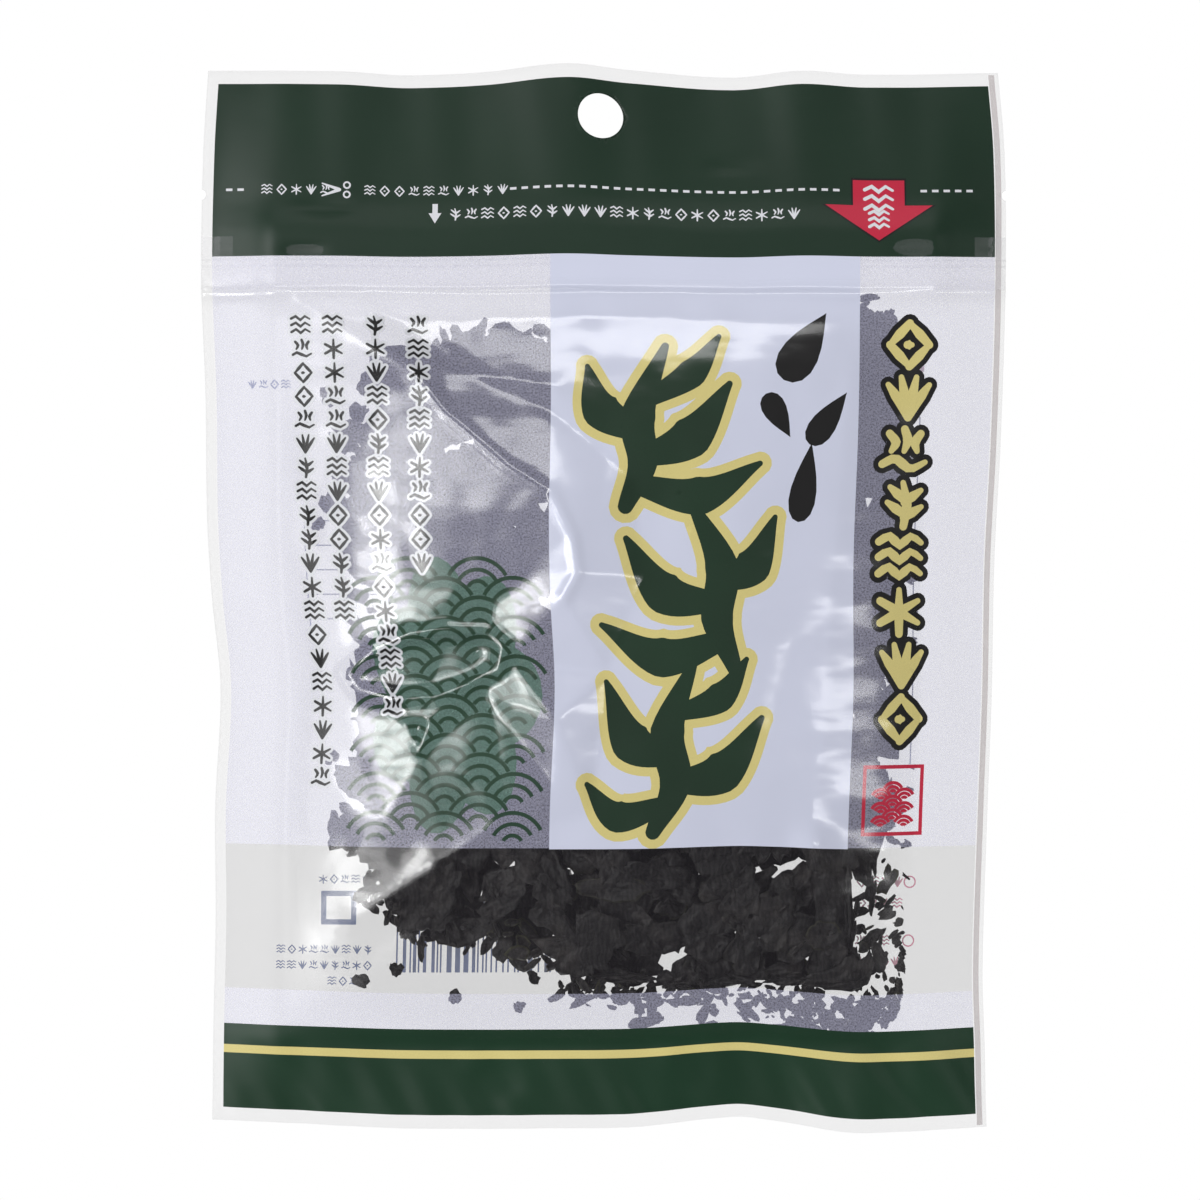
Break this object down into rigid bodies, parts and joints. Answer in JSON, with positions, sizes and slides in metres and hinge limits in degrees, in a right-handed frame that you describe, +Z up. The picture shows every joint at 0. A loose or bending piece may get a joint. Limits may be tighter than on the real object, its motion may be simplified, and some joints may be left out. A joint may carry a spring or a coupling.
{
  "type": "sealed pouch of dried cut wakame",
  "caption": "Flat zip pouch of clear and frosted film with a hang hole and tear notches, filled with dried cut wakame flakes; lies on its back.",
  "frame": {"origin": "middle of the bounding box's underside, on the surface that the pouch's belly rests on", "axes": "+Z up out of the printed front, +Y towards the header with the hang hole, +X to the right across the front"},
  "size_m": [0.15, 0.1992, 0.022],
  "materials": {
    "printed_film": "glossy clear laminate with frosted white, pale blue, green, gold and black inks",
    "clear_film": "glossy clear laminate, embossed at the seals",
    "zip_plastic": "translucent, smooth extruded tape",
    "dried_wakame": "crinkled, green-black, dry with a faint sheen, olive where it is thin"
  },
  "bodies": {
    "root": {"front_film": "printed_film", "back_film": "clear_film", "zip_ridge_strip": "zip_plastic", "zip_groove_strip": "zip_plastic", "wakame_bed": "dried_wakame", "loose_flake_1": "dried_wakame", "loose_flake_2": "dried_wakame", "loose_flake_3": "dried_wakame", "loose_flake_4": "dried_wakame", "loose_flake_5": "dried_wakame", "loose_flake_6": "dried_wakame", "loose_flake_7": "dried_wakame"}
  },
  "joints": []
}
